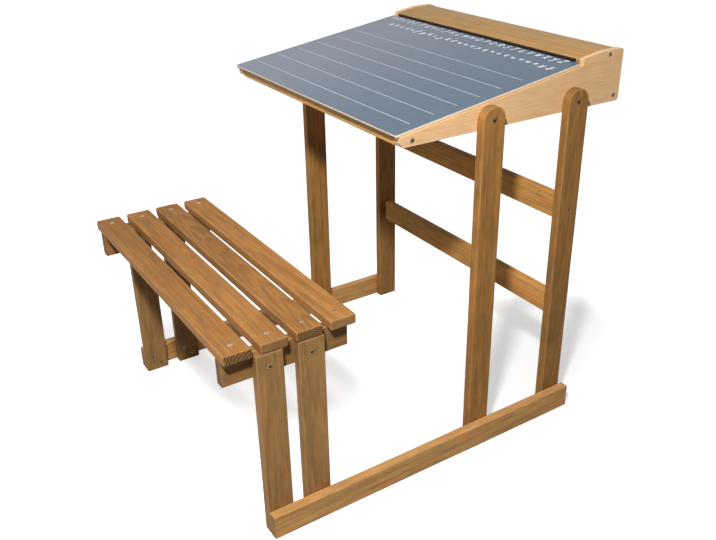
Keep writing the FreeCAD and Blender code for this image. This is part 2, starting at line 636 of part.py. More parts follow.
# A sleeve nut's flange lies on the wood, so its own origin is the flange's outer face
nut_solid = fuse("nut_solid", [
    cylinder("nut_flange", "Sizes.flange_radius", "Sizes.flange_thick", "-Sizes.flange_thick"),
    cylinder("nut_sleeve", "Sizes.sleeve_radius", "Sizes.sleeve_length",
             "-Sizes.flange_thick - Sizes.sleeve_length"),
])
nut_cuts = fuse("nut_cuts", [
    cylinder("nut_bore", "Sizes.bolt_radius + Sizes.bolt_clearance", "Sizes.sleeve_length",
             "-Sizes.flange_thick - Sizes.sleeve_length"),
    block("nut_slot", "2 * Sizes.flange_radius + 1", "Sizes.driver_slot_wide", "2 * Sizes.driver_slot_deep",
          "-Sizes.driver_slot_deep"),
])
nut_hole = cylinder("nut_hole", "Sizes.sleeve_radius + Sizes.bolt_clearance",
                    "Sizes.sleeve_length + Sizes.bolt_clearance",
                    "-Sizes.flange_thick - Sizes.sleeve_length - Sizes.bolt_clearance")
nut = (cut("nut_master", nut_solid, nut_cuts), nut_hole)

for side, sign in SIDES:
    for leg, start in LEG_STARTS.items():
        on_seat = leg.startswith("seat")
        carried = f"seat_bearer_{side}" if on_seat else f"side_panel_{side}"
        height = f"{SLAT_UNDER} - Sizes.seat_bolt_drop" if on_seat else LEG_ROUND
        inner = BEARER_INNER if on_seat else PANEL_INNER
        level = from_front(f"({start} + Sizes.batten_wide / 2)")
        group = "seat_bolt" if on_seat else "desk_bolt"
        masters = seat_bolt if on_seat else desk_bolt
        fasten(f"{group}s", masters, [f"{leg}_{side}", carried],
               (f"{sign} * ({LEG_OUTER} - Sizes.bolt_sink)", level, height), facing(sign))
        fasten(f"{group}_nuts", nut, [carried],
               (f"{sign} * ({inner} - Sizes.flange_thick)", level, height), facing(-sign))

# A continuous hinge in two lengths stands in the gap between lid and top board, drawn about the pin
# and then turned
hinge_screw = screw("hinge_screw", "hinge_screw", "hinge_recess", "Sizes.hinge_screw_length")
KNUCKLE_PITCH = f"(({HINGE_LENGTH} + Sizes.knuckle_gap) / {KNUCKLE_COUNT})"
LEAF_DEPTHS = {1: "Sizes.frame_leaf_depth", -1: "Sizes.lid_leaf_depth"}
SCREW_OFFSETS = [f"({step} * {HINGE_LENGTH} / 3)" for step in (-1, 0, 1)]
HINGE_LEVEL, HINGE_HEIGHT = on_slope(HINGE_U, "Sizes.hinge_axis_rise")
PIN_BORE = "Sizes.hinge_pin_radius + Sizes.hinge_pin_clearance"


def hinge_bar(name, radius, length, x):
    bar = bind(doc.addObject("Part::Cylinder", name), Radius=radius, Height=length)
    return place(bar, x=x, axis=ALONG_Y, angle="90")


def screw_drop(toward):
    """Depth of the screws below the pin, in the middle of the leaf's plate."""
    return f"(({LEAF_DEPTHS[toward]} + {KNUCKLE_ROOM}) / 2)"


def leaf_block(name, length, height, x, toward, z):
    """A flat of the leaf, against the wood behind it (toward 1) or before it (toward -1)."""
    near = f"{KNUCKLE_ROOM} - Sizes.leaf_thick" if toward > 0 else f"-{KNUCKLE_ROOM}"
    flat = bind(doc.addObject("Part::Box", name), Length=length, Width="Sizes.leaf_thick", Height=height)
    return place(flat, x, near, z)


def hinge_leaf(name, centre_x, toward, knuckles):
    """One leaf: a plate with its own knuckles, its pin bore and its screw holes."""
    length = HINGE_LENGTH
    depth = LEAF_DEPTHS[toward]
    shapes = [leaf_block(f"{name}_plate", length, f"{depth} - {KNUCKLE_ROOM}",
                         f"-{length} / 2", toward, f"-{depth}")]
    for index in knuckles:
        x = f"({index} * {KNUCKLE_PITCH} - {length} / 2)"
        long = f"({KNUCKLE_PITCH} - Sizes.knuckle_gap)"
        shapes.append(leaf_block(f"{name}_tab_{index}", long, KNUCKLE_ROOM, x, toward, f"-{KNUCKLE_ROOM}"))
        shapes.append(hinge_bar(f"{name}_knuckle_{index}", "Sizes.knuckle_radius", long, x))
    holes = [hinge_bar(f"{name}_bore", PIN_BORE, f"{length} + {DRILL_RUNOUT}",
                       f"-({length} + {DRILL_RUNOUT}) / 2")]
    for index, offset in enumerate(SCREW_OFFSETS, start=1):
        surface = f"{toward} * ({KNUCKLE_ROOM} - Sizes.leaf_thick)"
        holes.append(link(f"{name}_hole_{index}", hinge_screw[1], offset, surface,
                          f"-{screw_drop(toward)}", toward * ALONG_X, "90"))
    leaf = cut(name, fuse(f"{name}_solid", shapes), fuse(f"{name}_holes", holes))
    return place(leaf, centre_x, from_front(HINGE_LEVEL), HINGE_HEIGHT, ALONG_X, "Sizes.lid_slope")


nodes = {}
for side, sign in SIDES:
    centre_x = f"{sign} * {HINGE_X}"
    leaves = {"hinge_frame_leaf": (1, range(0, KNUCKLE_COUNT, 2)),
              "hinge_lid_leaf": (-1, range(1, KNUCKLE_COUNT, 2))}
    for leaf, (toward, knuckles) in leaves.items():
        nodes[f"{leaf}_{side}"] = hinge_leaf(f"{leaf}_{side}", centre_x, toward, knuckles)
    nodes[f"hinge_pin_{side}"] = place(
        hinge_bar(f"hinge_pin_{side}", "Sizes.hinge_pin_radius", HINGE_LENGTH, "0"),
        f"{centre_x} - {HINGE_LENGTH} / 2", from_front(HINGE_LEVEL), HINGE_HEIGHT, ALONG_Y, "90")
    # The screws of the rear leaf go back into the top board, those of the lid's leaf into its batten
    for offset in SCREW_OFFSETS:
        for group, piece, toward, turn in (
            ("hinge_frame_screws", "top_board", 1, (ALONG_X, "90 + Sizes.lid_slope")),
            ("hinge_lid_screws", "lid_batten", -1, (-ALONG_X, "90 - Sizes.lid_slope")),
        ):
            level, height = on_slope(f"{HINGE_U} + {toward} * ({KNUCKLE_ROOM} - Sizes.leaf_thick)",
                                     f"Sizes.hinge_axis_rise - {screw_drop(toward)}")
            fasten(group, hinge_screw, [piece], (f"{centre_x} + {offset}", from_front(level), height), turn)

# Every timber piece with its holes and grooves, and every group of fasteners
for name, blank in blanks.items():
    if not tools[name]:
        nodes[name] = blank
    elif len(tools[name]) == 1:
        nodes[name] = cut(name, blank, tools[name][0])
    else:
        nodes[name] = cut(name, blank, fuse(f"{name}_holes", tools[name]))
for group, links in groups.items():
    nodes[group] = doc.addObject("Part::Compound", group)
    nodes[group].Links = links
for name, node in nodes.items():
    node.Label = name
doc.recompute()

failed = [thing.Name for thing in doc.Objects if {"Invalid", "Error"} & set(thing.State)]
if failed:
    raise RuntimeError(f"these objects failed: {failed}")
for name, node in nodes.items():
    if node.Shape.isNull() or not node.Shape.isValid() or not node.Shape.Solids:
        raise RuntimeError(f"{name} has no valid solid")
os.makedirs("parts", exist_ok=True)
for name, node in nodes.items():
    node.Shape.exportStep(f"parts/{name}.step")
print(f"{len(nodes)} nodes written")
print(f"hinge axis: y {number(from_front(HINGE_LEVEL)):.4f}, z {number(HINGE_HEIGHT):.4f}")
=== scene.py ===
import math

import bpy
import numpy as np
from mathutils import Matrix, Vector


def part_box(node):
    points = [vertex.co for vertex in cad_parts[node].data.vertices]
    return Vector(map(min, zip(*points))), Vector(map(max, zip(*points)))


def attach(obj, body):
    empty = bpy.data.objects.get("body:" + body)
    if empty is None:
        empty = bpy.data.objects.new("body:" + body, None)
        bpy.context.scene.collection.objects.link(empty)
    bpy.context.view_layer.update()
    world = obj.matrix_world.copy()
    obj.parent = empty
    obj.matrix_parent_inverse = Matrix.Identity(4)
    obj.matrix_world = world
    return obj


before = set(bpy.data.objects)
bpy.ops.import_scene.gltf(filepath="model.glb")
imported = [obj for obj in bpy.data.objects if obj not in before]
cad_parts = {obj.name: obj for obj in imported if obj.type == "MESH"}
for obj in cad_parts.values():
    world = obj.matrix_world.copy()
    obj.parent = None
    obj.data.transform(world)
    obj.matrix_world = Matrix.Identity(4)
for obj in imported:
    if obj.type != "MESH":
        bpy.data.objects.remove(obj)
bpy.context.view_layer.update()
print("frame loaded:", len(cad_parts), "pieces")


def tint(red, green, blue):
    # screen colour 0 to 255, turned into the linear colour that shaders use
    parts = np.array([red, green, blue]) / 255
    linear = np.where(parts <= 0.04045, parts / 12.92, ((parts + 0.055) / 1.055) ** 2.4)
    return tuple(float(part) for part in linear) + (1.0,)


class Field:
    # one output of a node tree; sums and products of fields add Math nodes
    def __init__(self, tree, socket):
        self.tree = tree
        self.socket = socket

    def node(self, kind, settings=None, sockets=None, out=0):
        made = self.tree.nodes.new(kind)
        for name, value in (settings or {}).items():
            setattr(made, name, value)
        for name, value in (sockets or {}).items():
            if isinstance(value, Field):
                self.tree.links.new(value.socket, made.inputs[name])
            else:
                made.inputs[name].default_value = value
        return Field(self.tree, made.outputs[out])

    def math(self, operation, *values):
        return self.node("ShaderNodeMath", {"operation": operation}, dict(enumerate(values)))

    def __add__(self, other):
        return self.math("ADD", self, other)

    def __radd__(self, other):
        return self.math("ADD", other, self)

    def __sub__(self, other):
        return self.math("SUBTRACT", self, other)

    def __rsub__(self, other):
        return self.math("SUBTRACT", other, self)

    def __mul__(self, other):
        return self.math("MULTIPLY", self, other)

    def __rmul__(self, other):
        return self.math("MULTIPLY", other, self)

    def __truediv__(self, other):
        return self.math("DIVIDE", self, other)

    def __rtruediv__(self, other):
        return self.math("DIVIDE", other, self)

    def __pow__(self, power):
        return self.math("POWER", self, power)

    def __neg__(self):
        return self.math("MULTIPLY", self, -1)

    def __abs__(self):
        return self.math("ABSOLUTE", self)

    def least(self, other):
        return self.math("MINIMUM", self, other)

    def most(self, other):
        return self.math("MAXIMUM", self, other)

    def fraction(self):
        return self.math("FRACT", self)

    def swing(self):
        # noise less its average
        return self - 0.5

    def ease(self, low, high):
        # 0 below low, 1 above high, smooth between
        return self.node("ShaderNodeMapRange", {"interpolation_type": "SMOOTHSTEP"},
                         {"Value": self, "From Min": low, "From Max": high})

    def blend(self, first, second):
        # colour mix with this field as the factor
        return self.node("ShaderNodeMix", {"data_type": "RGBA"}, {0: self, 6: first, 7: second}, out=2)

    def limit(self):
        return self.node("ShaderNodeClamp", sockets={"Value": self})

    def scaled(self, factor):
        # colour times a number field
        return self.node("ShaderNodeVectorMath", {"operation": "SCALE"}, {0: self, "Scale": factor})

    def axes(self):
        parts = self.node("ShaderNodeSeparateXYZ", sockets={0: self}).socket.node
        return [Field(self.tree, parts.outputs[index]) for index in range(3)]

    def noise(self, scale, shift=(0, 0, 0), detail=2.0, roughness=0.5):
        # noise on stretched coordinates, about 0.5 on average
        spot = self.node("ShaderNodeVectorMath", {"operation": "MULTIPLY_ADD"},
                         {0: self, 1: scale, 2: shift})
        return self.node("ShaderNodeTexNoise", sockets={
            "Vector": spot, "Scale": 1.0, "Detail": detail, "Roughness": roughness})


def newMaterial(name):
    # empty material with one Principled shader, its Object coordinates and its object normal
    material = bpy.data.materials.new(name)
    material.use_nodes = True
    tree = material.node_tree
    shader = tree.nodes["Principled BSDF"]
    coordinates = tree.nodes.new("ShaderNodeTexCoord")
    place = Field(tree, coordinates.outputs["Object"])
    facing = Field(tree, coordinates.outputs["Normal"])
    return material, shader, place, facing


def connect(shader, socket, field):
    field.tree.links.new(field.socket, shader.inputs[socket])


def setBump(shader, height, distance, strength):
    connect(shader, "Normal", height.node("ShaderNodeBump", sockets={
        "Strength": strength, "Distance": distance, "Height": height}))


def dress(nodeName, material):
    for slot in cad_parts[nodeName].material_slots:
        slot.material = material


# timber finishes: colours of early and late wood, and how each is worn and given a painted highlight along its
# edges
finishes = {
    "pine": dict(
        early=tint(156, 112, 60), late=tint(112, 74, 36), warm=tint(164, 101, 46), olive=tint(126, 96, 48),
        pale=tint(176, 136, 90), end=tint(138, 102, 62), endLate=tint(60, 38, 20), ring=0.0034,
        contrast=0.36, rough=0.64, fibre=0.36, streak=1.00, blotch=0.46, cloud=0.64, wearAndHighlight=0.42),
    "beech": dict(
        early=tint(233, 190, 141), late=tint(206, 156, 104), warm=tint(236, 172, 112),
        olive=tint(225, 185, 132), pale=tint(243, 216, 178), end=tint(230, 194, 148),
        endLate=tint(204, 160, 112), ring=0.0017, contrast=0.15, rough=0.46, fibre=0.22, streak=0.28,
        blotch=0.26, cloud=0.26, wearAndHighlight=0.45),
    "tan": dict(
        early=tint(172, 132, 74), late=tint(136, 95, 48), warm=tint(182, 120, 58), olive=tint(148, 126, 74),
        pale=tint(190, 156, 106), end=tint(164, 126, 76), endLate=tint(124, 88, 48), ring=0.0026,
        contrast=0.36, rough=0.48, fibre=0.34, streak=1.10, blotch=0.45, cloud=0.34, wearAndHighlight=0.20),
}
finishes["seat"] = dict(
    finishes["pine"], early=tint(157, 110, 60), late=tint(109, 72, 38), warm=tint(167, 103, 51),
    olive=tint(126, 93, 49), pale=tint(174, 133, 86), streak=1.15, blotch=0.38, cloud=0.46)
finishes["faded"] = dict(
    finishes["pine"], early=tint(155, 118, 72), late=tint(114, 79, 46), warm=tint(166, 106, 60),
    olive=tint(140, 104, 62))
# noise of each timber pattern: scale along and across the grain, offset, detail, roughness
patterns = dict(
    sway=(2.4, 9.0, 3.1, 1.0), swell=(3.3, 12.0, 8.7, 1.0), waver=(1.3, 55.0, 14.2, 2.0),
    fibre=(28.0, 640.0, 1.9, 3.0, 0.6), streak=(7.0, 230.0, 6.1, 3.0, 0.6), hue=(20.0, 84.0, 17.3),
    cloud=(5.0, 16.0, 11.3), mottle=(32.0, 70.0, 21.7), wearAndHighlight=(30.0, 90.0, 5.5, 2.0))
# what the patterns do: a pair is where a smooth step starts and ends, lengths are in metres
grainRule = dict(
    seedStep=2.37, seedScales=(1.7, 0.6), swayReach=0.007, swellReach=0.004, waver=1.6,
    lateRise=(0.20, 0.88), lateFall=(0.90, 1.0), warmAbove=(0.50, 0.70), oliveBelow=(0.32, 0.50),
    turned=(0.55, 0.9), endFibre=0.3, fibreShade=2, mottleShade=0.7, streakShade=0.3,
    knotColor=tint(88, 56, 30), knotDepth=0.7, knotBend=0.9, knotStretch=0.4, knotCore=(0.05, 0.6),
    edgeReach=(0.0006, 0.0040), wearAndHighlightAbove=(0.20, 0.70), endWearAndHighlight=0.7, fibreRough=0.22, lateRough=0.05,
    fibreBump=0.45, lateBump=0.35, streakBump=0.2, bumpDistance=0.00030, bumpStrength=0.55, specular=0.14)
grainOrder = {"X": (0, 1, 2), "Y": (1, 0, 2), "Z": (2, 0, 1)}


def timberMaterial(piece, finish, along, pith, lean, ring=None, contrast=None, endContrast=0.35,
                   endTone=1.0, toneAndPaintedLight=1.0, paintedFrontLight=None, seed=0.0, knots=()):
    # growth rings are cylinders round a pith line beside the piece, so faces and ends share one pattern
    look, rule = finishes[finish], grainRule
    ring = ring or look["ring"]
    contrast = contrast or look["contrast"]
    material, shader, place, facing = newMaterial(piece)
    low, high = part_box(piece)
    centre = (low + high) / 2
    order = grainOrder[along]
    parts = place.axes()
    run, across, up = (parts[index] - centre[index] for index in order)

    def stretched(pattern):
        runScale, acrossScale, shift, *fineness = patterns[pattern]
        scale = [acrossScale] * 3
        scale[order[0]] = runScale
        second, third = rule["seedScales"]
        return place.noise(tuple(scale), (seed + shift, seed * second + shift, seed * third - shift), *fineness)

    sideways = across - pith[0] - run * lean[0] + stretched("sway").swing() * rule["swayReach"]
    outwards = up - pith[1] - run * lean[1] + stretched("swell").swing() * rule["swellReach"]
    radius = (sideways * sideways + outwards * outwards) ** 0.5
    dark = None
    for spot, side, size in knots:  # a knot: rings bend round a small dark branch end
        ahead, beside = run - spot, across - side
        reach = (ahead * ahead * rule["knotStretch"] + beside * beside) / (size * size)
        radius = radius + size * rule["knotBend"] / (1 + reach * reach)
        core = 1 - reach.ease(*rule["knotCore"])
        dark = core if dark is None else dark.most(core)
    turn = (radius / ring + stretched("waver") * rule["waver"]).fraction()
    late = turn.ease(*rule["lateRise"]) * (1 - turn.ease(*rule["lateFall"]))
    fibre, streak, hue, cloud, mottle = (
        stretched(pattern) for pattern in ("fibre", "streak", "hue", "cloud", "mottle"))
    grain = (late * contrast + streak.swing() * look["streak"]).limit()
    color = grain.blend(look["early"], look["late"])
    color = (hue.ease(*rule["warmAbove"]) * look["blotch"]).blend(color, look["warm"])
    color = ((1 - hue.ease(*rule["oliveBelow"])) * look["blotch"]).blend(color, look["olive"])
    turned = facing.axes()
    endOn = abs(turned[order[0]]).ease(*rule["turned"])
    endRings = (late * endContrast + fibre.swing() * rule["endFibre"]).limit()
    color = endOn.blend(color, endRings.blend(look["end"], look["endLate"]).scaled(endTone))
    level = 1.0 + fibre.swing() * look["fibre"] * rule["fibreShade"] + cloud.swing() * look["cloud"]
    level = level + mottle.swing() * look["cloud"] * rule["mottleShade"]
    # the tone is partly painted light and shade: whole pieces made brighter or darker for how strongly they are
    # lit
    level = (level - streak.swing() * look["streak"] * rule["streakShade"]) * toneAndPaintedLight
    # painted light: the front face is painted paler, standing in for light falling on the front
    if paintedFrontLight is not None:  # a paler front edge
        level = level * ((-turned[1]).ease(*rule["turned"]) * (paintedFrontLight - 1) + 1)
    color = color.scaled(level)
    if dark is not None:
        color = (dark * rule["knotDepth"]).blend(color, rule["knotColor"])
    # distance to the second nearest face is small only along an edge, which is painted paler: partly the finish
    # worn thin, partly a painted highlight where the rounded edge catches light
    gaps = [(parts[index] - low[index]).least(high[index] - parts[index]) for index in range(3)]
    edge = gaps[0].least(gaps[1]).most(gaps[0].most(gaps[1]).least(gaps[2]))
    edgeWearAndHighlight = (1 - edge.ease(*rule["edgeReach"])) * stretched("wearAndHighlight").ease(*rule["wearAndHighlightAbove"])
    edgeWearAndHighlight = edgeWearAndHighlight * (1 - endOn * rule["endWearAndHighlight"])
    connect(shader, "Base Color", (edgeWearAndHighlight * look["wearAndHighlight"]).blend(color, look["pale"]))
    connect(shader, "Roughness", look["rough"] + fibre.swing() * rule["fibreRough"] - late * rule["lateRough"])
    height = fibre * rule["fibreBump"] + late * rule["lateBump"] + streak * rule["streakBump"]
    setBump(shader, height, rule["bumpDistance"], rule["bumpStrength"])
    shader.inputs["Specular IOR Level"].default_value = rule["specular"]
    dress(piece, material)


# how each timber was cut: grain direction, pith line from the piece's centre and its lean, in metres; the tone
# brightens or darkens a whole piece, partly its own wood and partly painted light and shade
timbers = {
    "seat_slat_1": dict(finish="seat", along="X", pith=(0.046, -0.040), lean=(0.012, 0.008), ring=0.0054,
                        contrast=0.30, endContrast=1.0, toneAndPaintedLight=0.96, paintedFrontLight=1.30),
    "seat_slat_2": dict(finish="seat", along="X", pith=(0.008, -0.120), lean=(0.006, 0.012), toneAndPaintedLight=1.08,
                        endContrast=0.25),
    "seat_slat_3": dict(finish="seat", along="X", pith=(0.006, -0.030), lean=(0.010, 0.055), ring=0.0036,
                        contrast=0.50, endContrast=1.0, knots=((-0.028, 0.012, 0.004),)),
    "seat_slat_4": dict(finish="seat", along="X", pith=(-0.020, -0.100), lean=(-0.008, 0.014), toneAndPaintedLight=1.26,
                        endContrast=0.2),
    "cross_rail_upper": dict(finish="pine", along="X", pith=(-0.060, 0.030), lean=(0.012, 0.010), toneAndPaintedLight=1.92),
    "cross_rail_lower": dict(finish="pine", along="X", pith=(-0.075, -0.020), lean=(0.010, 0.012), toneAndPaintedLight=1.82),
    "front_rail": dict(finish="tan", along="X", pith=(0.070, 0.030), lean=(0.010, 0.012), toneAndPaintedLight=1.40),
    "back_panel": dict(finish="beech", along="X", pith=(0.110, 0.030), lean=(0.015, 0.010)),
    "top_board": dict(finish="tan", along="X", pith=(0.060, -0.030), lean=(0.008, 0.006), toneAndPaintedLight=1.12),
    "lid_batten": dict(finish="beech", along="X", pith=(0.050, 0.020), lean=(0.010, 0.010)),
}
for side, flip in (("right", 1), ("left", -1)):
    timbers.update({
        f"runner_{side}": dict(
            finish="faded", along="Y", pith=(0.075 * flip, 0.012), lean=(0.012, 0.016), toneAndPaintedLight=1.92, endTone=0.7),
        f"seat_bearer_{side}": dict(
            finish="faded", along="Y", pith=(0.060, -0.030), lean=(0.012, 0.010), toneAndPaintedLight=0.90, endTone=0.80),
        f"seat_leg_front_{side}": dict(
            finish="faded", along="Z", pith=(0.080, 0.006), lean=(0.014, 0.008), toneAndPaintedLight=1.04),
        f"seat_leg_rear_{side}": dict(
            finish="faded", along="Z", pith=(-0.090, 0.010), lean=(0.016, -0.010), toneAndPaintedLight=1.16),
        f"desk_leg_front_{side}": dict(
            finish="pine", along="Z", pith=(0.085, -0.008), lean=(0.010, 0.008), toneAndPaintedLight=1.19),
        f"desk_leg_rear_{side}": dict(
            finish="pine", along="Z", pith=(-0.070, -0.012), lean=(0.024, 0.012), toneAndPaintedLight=1.05,
            knots=((0.150, 0.004, 0.003),)),
        f"side_panel_{side}": dict(
            finish="beech", along="Y", pith=(0.120 * flip, -0.060), lean=(0.012, 0.030), toneAndPaintedLight=1.05),
    })
for number, (piece, cutting) in enumerate(timbers.items()):
    timberMaterial(piece, seed=number * grainRule["seedStep"], **cutting)
print("timber dressed:", len(timbers), "pieces")


# lid: slate face with pale sawn sides, thin ply board under it
lidPlane = dict(frontY=-0.0796, frontZ=0.6001, slope=math.radians(8.55))
slate = dict(
    base=tint(62, 85, 105), cool=tint(62, 82, 101), chalkAndSheen=tint(148, 150, 157), side=tint(206, 192, 172),
    front=tint(192, 164, 134), rough=0.40, cloud=dict(scale=(6, 9, 9), detail=3.0, roughness=0.6),
    speck=dict(scale=(900, 900, 900), detail=2.0, roughness=0.7),
    grit=dict(scale=(220, 220, 220), shift=(1, 5, 3), detail=2.0, roughness=0.6),
    smear=dict(scale=(9, 38, 38), shift=(4, 2, 7), detail=4.0, roughness=0.65), cloudEdge=(0.3, 0.7),
    sheenSpan=(-0.24, 0.30), sheenDepth=0.40, smearAbove=(0.50, 0.85), smearDepth=0.08, shade=0.79,
    speckShade=0.16, gritShade=0.26, topTurned=(0.5, 0.8), frontTurned=(0.6, 0.9), smearRough=0.10,
    speckRough=0.06, bumpDistance=0.00006, bumpStrength=0.6)


def slateMaterial():
    # dark sheet with a painted sheen: a pale veil that grows towards the left, standing in for reflected light,
    # plus chalk dust in smears
    material, shader, place, facing = newMaterial("slate")
    cloud, speck, grit, smear = (
        place.noise(**slate[pattern]) for pattern in ("cloud", "speck", "grit", "smear"))
    # painted reflection: paler towards the left; the smears added next are chalk dust
    sheenAndDust = (-place.axes()[0]).ease(*slate["sheenSpan"]) * slate["sheenDepth"]
    sheenAndDust = sheenAndDust + smear.ease(*slate["smearAbove"]) * slate["smearDepth"]
    color = cloud.ease(*slate["cloudEdge"]).blend(slate["base"], slate["cool"])
    color = sheenAndDust.blend(color, slate["chalkAndSheen"])
    color = color.scaled(slate["shade"] + speck * slate["speckShade"] + grit * slate["gritShade"])
    turned = facing.axes()
    sides = (-turned[1]).ease(*slate["frontTurned"]).blend(slate["side"], slate["front"])
    connect(shader, "Base Color", turned[2].ease(*slate["topTurned"]).blend(sides, color))
    rough = slate["rough"] + smear.swing() * slate["smearRough"] + speck.swing() * slate["speckRough"]
    connect(shader, "Roughness", rough)
    setBump(shader, speck, slate["bumpDistance"], slate["bumpStrength"])
    dress("slate_face", material)


# boards of thin sheets: thickness of a sheet, colours, and the heights where a pale upper layer starts
boards = {
    "ply": dict(
        piece="lid_board", sheet=0.0014, slope=lidPlane["slope"], light=tint(216, 188, 148),
        deep=tint(208, 176, 132), seamColor=tint(186, 140, 90), front=tint(104, 72, 46), rough=0.5,
        upper=(0.6022, 0.6030)),
    "hardboard": dict(
        piece="bottom_panel", sheet=0.0010, slope=0.0, light=tint(150, 112, 72), deep=tint(138, 100, 62),
        seamColor=tint(120, 86, 54), front=tint(132, 96, 60), rough=0.6),
}
boardRule = dict(
    fibre=dict(scale=(18, 420, 420), detail=3.0, roughness=0.6), cloud=dict(scale=(5, 12, 12), detail=2.0),
    cloudEdge=(0.3, 0.7), turned=(0.6, 0.9), seamRise=(0.0, 0.15), seamFall=(0.45, 0.6), seamDepth=0.22,
    upperColor=tint(238, 226, 208), shade=0.92, fibreShade=0.16, fibreRough=0.2, bumpDistance=0.00015,
    bumpStrength=0.5)


def boardMaterial(name, piece, sheet, slope, light, deep, seamColor, front, rough, upper=None):
    # thin sheets stacked square to the board, seen at its edges
    rule = boardRule
    material, shader, place, facing = newMaterial(name)
    y, z = place.axes()[1:]
    height = z * math.cos(slope) - y * math.sin(slope)
    layer = (height / sheet).fraction()
    fibre, cloud = place.noise(**rule["fibre"]), place.noise(**rule["cloud"])
    turned = facing.axes()
    flat = abs(turned[2]).ease(*rule["turned"])
    seam = layer.ease(*rule["seamRise"]) * (1 - layer.ease(*rule["seamFall"])) * (1 - flat)
    color = cloud.ease(*rule["cloudEdge"]).blend(light, deep)
    color = (seam * rule["seamDepth"]).blend(color, seamColor)
    color = (-turned[1]).ease(*rule["turned"]).blend(color, front)
    if upper:
        color = height.ease(*upper).blend(color, rule["upperColor"])
    connect(shader, "Base Color", color.scaled(rule["shade"] + fibre * rule["fibreShade"]))
    connect(shader, "Roughness", rough + fibre.swing() * rule["fibreRough"])
    setBump(shader, fibre, rule["bumpDistance"], rule["bumpStrength"])
    dress(piece, material)


slateMaterial()
for name, board in boards.items():
    boardMaterial(name, **board)
print("lid and bottom dressed")


# metal: colour, stain colour, roughness and the pieces that have it
metals = {
    "paleZinc": dict(color=tint(196, 182, 160), stain=tint(128, 108, 84), rough=0.45, pieces=["slat_screws"]),
    "dullZinc": dict(color=tint(116, 98, 74), stain=tint(84, 66, 46), rough=0.60,
                     pieces=["foot_screws", "rail_screws", "seat_bolt_nuts", "desk_bolt_nuts"]),
    "darkZinc": dict(color=tint(122, 104, 82), stain=tint(62, 49, 37), rough=0.24,
                     pieces=["seat_bolts", "desk_bolts", "panel_screws"]),
    "darkBronze": dict(color=tint(56, 44, 34), stain=tint(32, 26, 21), rough=0.50,
                       pieces=[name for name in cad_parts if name.startswith("hinge")]),
}
metalRule = dict(
    scratch=dict(scale=(1800, 1800, 1800), detail=2.0, roughness=0.7),
    spot=dict(scale=(240, 240, 240), shift=(3, 1, 2), detail=3.0), stainAbove=(0.45, 0.8), stainDepth=0.5,
    scratchRough=0.25, bumpDistance=0.00003, bumpStrength=0.4)


def metalMaterial(name, color, stain, rough, pieces):
    rule = metalRule
    material, shader, place, _ = newMaterial(name)
    scratch, spot = place.noise(**rule["scratch"]), place.noise(**rule["spot"])
    stained = spot.ease(*rule["stainAbove"]) * rule["stainDepth"]
    connect(shader, "Base Color", stained.blend(color, stain))
    connect(shader, "Roughness", rough + scratch.swing() * rule["scratchRough"])
    shader.inputs["Metallic"].default_value = 1.0
    setBump(shader, scratch, rule["bumpDistance"], rule["bumpStrength"])
    for piece in pieces:
        dress(piece, material)


for name, metal in metals.items():
    metalMaterial(name, **metal)
print("metal dressed")


def onLid(x, u, lift):
    # point of the lid: x across, u back from the front edge, lift above the slate
    cosine, sine = math.cos(lidPlane["slope"]), math.sin(lidPlane["slope"])
    y = lidPlane["frontY"] + u * cosine - lift * sine
    z = lidPlane["frontZ"] + u * sine + lift * cosine
    return np.stack([x, y, z], -1)


def gridMesh(name, points, material):
    # points is patches by rows by columns; each cell of every patch becomes a face
    patches, rows, columns = points.shape[:3]
    index = np.arange(patches * rows * columns).reshape(patches, rows, columns)
    corners = [index[:, :-1, :-1], index[:, :-1, 1:], index[:, 1:, 1:], index[:, 1:, :-1]]
    mesh = bpy.data.meshes.new(name)
    mesh.from_pydata(points.reshape(-1, 3).tolist(), [], np.stack(corners, -1).reshape(-1, 4).tolist())
    mesh.materials.append(material)
    piece = bpy.data.objects.new(name, mesh)
    bpy.context.collection.objects.link(piece)
    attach(piece, "lid")


# print: broken a little by the slate's texture
inkRule = dict(gap=dict(scale=(700, 700, 700), detail=2.0, roughness=0.6), gapAbove=(0.55, 0.8),
               gapColor=tint(168, 180, 194), rough=0.6)


def printMaterial(name, color):
    material, shader, place, _ = newMaterial(name)
    gap = place.noise(**inkRule["gap"]).ease(*inkRule["gapAbove"])
    connect(shader, "Base Color", gap.blend(color, inkRule["gapColor"]))
    shader.inputs["Roughness"].default_value = inkRule["rough"]
    return material


# ruled lines printed across the slate: a low flat-topped profile carried straight along x
ruling = dict(
    left=-0.246, right=0.2445, width=0.0011, lift=0.00008, color=tint(198, 209, 220), columns=60,
    across=(-0.5, -0.3, 0.3, 0.5), crown=0.4, edgeHeight=0.25,
    rows=(0.0388, 0.0835, 0.1275, 0.1712, 0.2140, 0.2590))


def printLines(material):
    along = np.linspace(ruling["left"], ruling["right"], ruling["columns"])
    row, across, x = np.meshgrid(ruling["rows"], ruling["across"], along, indexing="ij")
    lift = np.where(abs(across) < ruling["crown"], 1.0, ruling["edgeHeight"]) * ruling["lift"]
    gridMesh("ruledLines", onLid(x, row + across * ruling["width"], lift), material)


